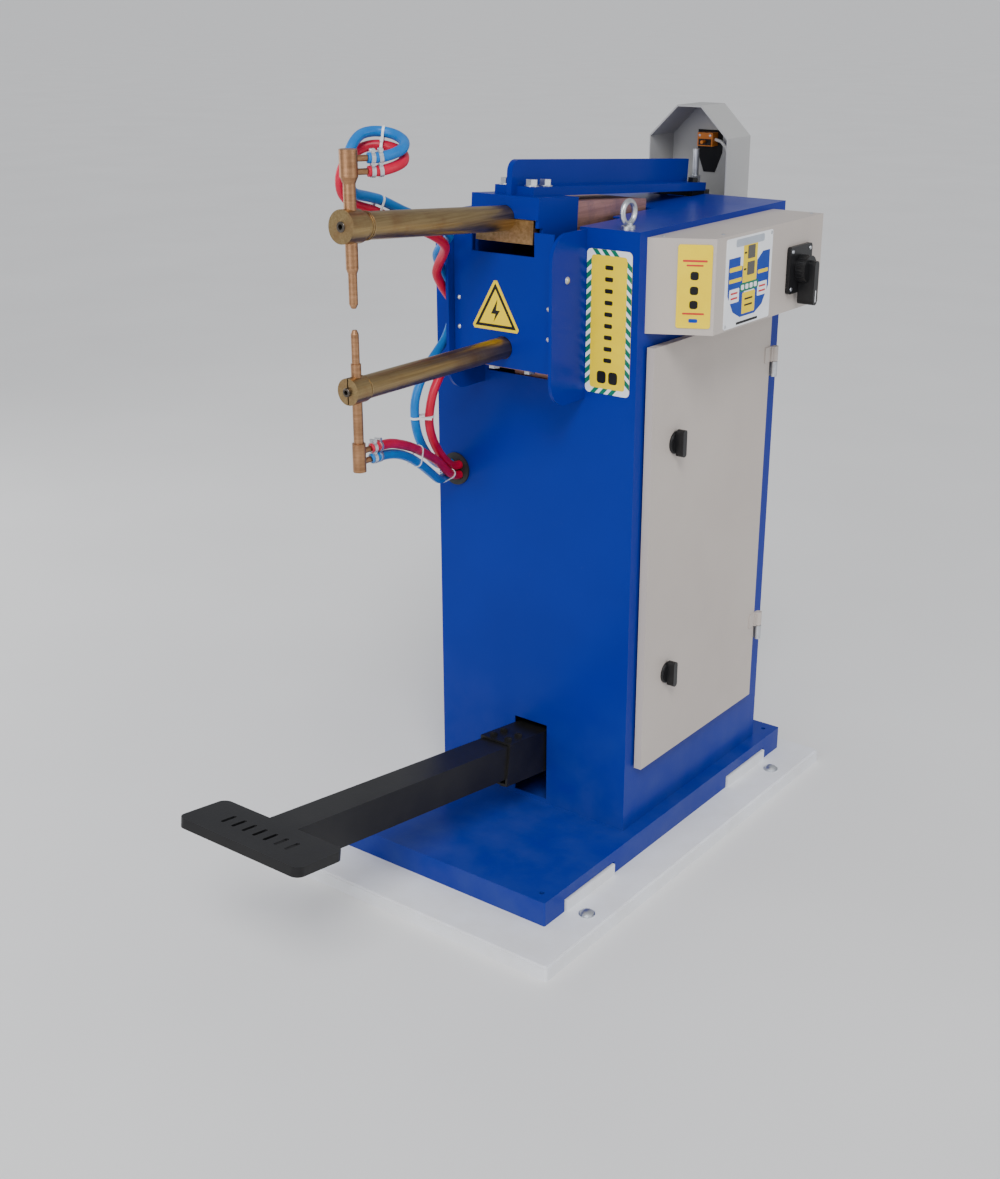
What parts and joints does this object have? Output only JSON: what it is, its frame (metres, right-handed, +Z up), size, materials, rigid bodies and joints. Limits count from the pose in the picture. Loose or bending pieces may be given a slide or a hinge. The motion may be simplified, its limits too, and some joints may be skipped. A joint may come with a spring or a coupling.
{
  "type": "spot welder",
  "caption": "Pedal-operated rocker-arm spot welder: floor cabinet with door and control box, water-cooled arms, foot lever, push rod and hooded rear linkage.",
  "frame": {"origin": "on the floor, at the middle of the plinth's underside", "axes": "+Z up, -Y towards the operator, along the arms, +X towards the door side"},
  "size_m": [0.6374, 1.3105, 1.29],
  "materials": {
    "plinth_white": "satin",
    "zinc": "zinc plated",
    "blue_paint": "gloss",
    "bronze": "machined",
    "brass": "machined, tarnished",
    "copper": "machined copper",
    "black_core": "varnished laminations",
    "coil": "varnished winding",
    "grey_paint": "satin",
    "hood_paint": "satin",
    "panel_print": "printed film",
    "windows": "tinted window",
    "black_plastic": "moulded",
    "label_print": "printed vinyl",
    "orange_plastic": "moulded",
    "black_paint": "satin",
    "white_cable": "smooth",
    "grommet": "matt",
    "red_hose": "smooth",
    "blue_hose": "smooth",
    "insulation": "pressed fibre",
    "spring_paint": "gloss"
  },
  "bodies": {
    "frame": {"plinth": "plinth_white", "floor_bolts": "zinc", "base_plate": "blue_paint", "cabinet": "blue_paint", "head_plate": "blue_paint", "left_cheek": "blue_paint", "right_cheek": "blue_paint", "dome_screws": "zinc", "pivot_shaft": "zinc", "lower_clamp": "bronze", "lower_clamp_bolts": "zinc", "lower_arm": "brass", "lower_holder": "copper", "lower_tip": "copper", "transformer_core": "black_core", "transformer_coil": "coil", "transformer_rails": "zinc", "lower_busbar": "copper", "flexible_shunt": "copper", "control_box": "grey_paint", "timer_panel": "panel_print", "timer_windows": "windows", "isolator_plate": "black_plastic", "labels": "label_print", "hood": "hood_paint", "limit_switch": "orange_plastic", "switch_bracket": "black_paint", "switch_cable": "white_cable", "eyebolts": "zinc", "mains_gland": "black_plastic", "water_tails": "brass", "hinge_lugs": "zinc", "pedal_bearings": "blue_paint", "pedal_shaft": "zinc", "return_spring": "zinc", "hose_grommet": "grommet", "lower_hose_red": "red_hose", "lower_hose_blue": "blue_hose", "upper_hose_red": "red_hose", "upper_hose_blue": "blue_hose"},
    "rocker": {"rocker_yoke": "blue_paint", "rocker_bushes": "bronze", "rocker_beam": "blue_paint", "beam_fork": "black_paint", "upper_clamp": "bronze", "insulation": "insulation", "clamp_bolts": "zinc", "copper_bar": "copper", "upper_arm": "brass", "upper_holder": "copper", "upper_tip": "copper"},
    "push_rod": {"push_rod": "zinc", "pressure_spring": "spring_paint"},
    "pedal": {"pedal_tube": "black_paint", "pedal_extension": "black_paint", "pedal_bolts": "black_paint"},
    "door": {"door": "grey_paint"},
    "latch_upper": {"latch_upper": "black_plastic"},
    "latch_lower": {"latch_lower": "black_plastic"},
    "isolator": {"isolator_knob": "black_plastic"}
  },
  "joints": [
    {"name": "pedal_hinge", "type": "hinge", "parent": "frame", "child": "pedal", "pos_m": [0, 0.097, 0.148], "axis": [1, 0, 0], "range_deg": [0, 8.25], "stiffness_Nm_per_rad": 60, "springref_deg": -45.84, "deforming": ["return_spring"]},
    {"name": "rocker_hinge", "type": "hinge", "parent": "frame", "child": "rocker", "pos_m": [0, -0.161, 1.045], "axis": [1, 0, 0], "range_deg": [0, 4.5]},
    {"name": "rod_hinge", "type": "hinge", "parent": "pedal", "child": "push_rod", "pos_m": [0, 0.4, 0.10407], "axis": [1, 0, 0], "range_deg": [-7.8, 0]},
    {"name": "door_hinge", "type": "hinge", "parent": "frame", "child": "door", "pos_m": [0.226, 0.32, 0.59], "axis": [0, 0, 1], "range_deg": [0, 110]},
    {"name": "upper_latch_turn", "type": "hinge", "parent": "door", "child": "latch_upper", "pos_m": [0.22, -0.007, 0.768], "axis": [1, 0, 0], "range_deg": [0, 90]},
    {"name": "lower_latch_turn", "type": "hinge", "parent": "door", "child": "latch_lower", "pos_m": [0.22, -0.007, 0.35], "axis": [1, 0, 0], "range_deg": [0, 90]},
    {"name": "isolator_turn", "type": "hinge", "parent": "frame", "child": "isolator", "pos_m": [0.31, 0.237, 1.03], "axis": [1, 0, 0], "range_deg": [-90, 0]}
  ],
  "couplings": [
    {"joint": "rocker_hinge", "follows": "pedal_hinge", "ratio": 0.5454},
    {"joint": "rod_hinge", "follows": "pedal_hinge", "ratio": -0.92}
  ]
}
